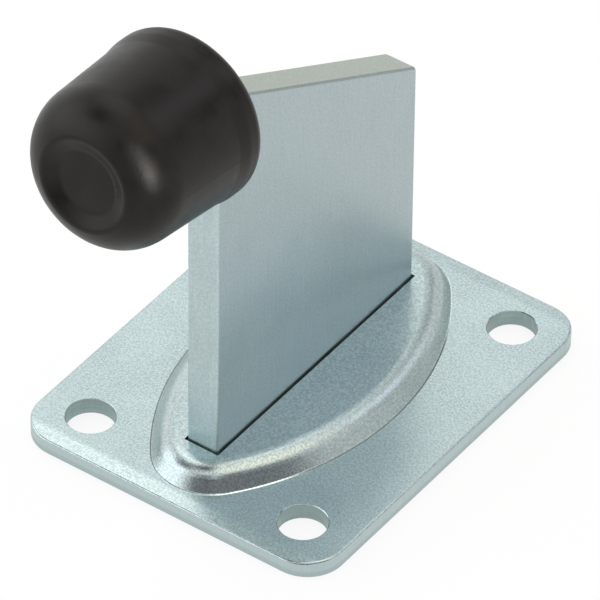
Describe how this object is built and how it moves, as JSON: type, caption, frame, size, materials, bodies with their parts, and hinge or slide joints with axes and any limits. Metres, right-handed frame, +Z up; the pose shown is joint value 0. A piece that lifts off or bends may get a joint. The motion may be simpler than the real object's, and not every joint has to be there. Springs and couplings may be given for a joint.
{
  "type": "gate stop",
  "caption": "Bolt-down gate stop: domed pressed base plate with a welded upright flat bar that holds a round rubber buffer out in front.",
  "frame": {"origin": "centre of the base plate's underside, on the ground", "axes": "+Z up, the buffer faces -Y, +X across the bar's thickness"},
  "size_m": [0.08, 0.1281, 0.1266],
  "materials": {
    "zinc_plate": "blue zinc plated",
    "zinc_weld": "weld, zinc plated",
    "buffer_rubber": "moulded, semi-matt"
  },
  "bodies": {
    "root": {"base_plate": "zinc_plate", "stop_bar": "zinc_plate", "rubber_buffer": "buffer_rubber", "weld_bead_left": "zinc_weld", "weld_bead_right": "zinc_weld"}
  },
  "joints": []
}
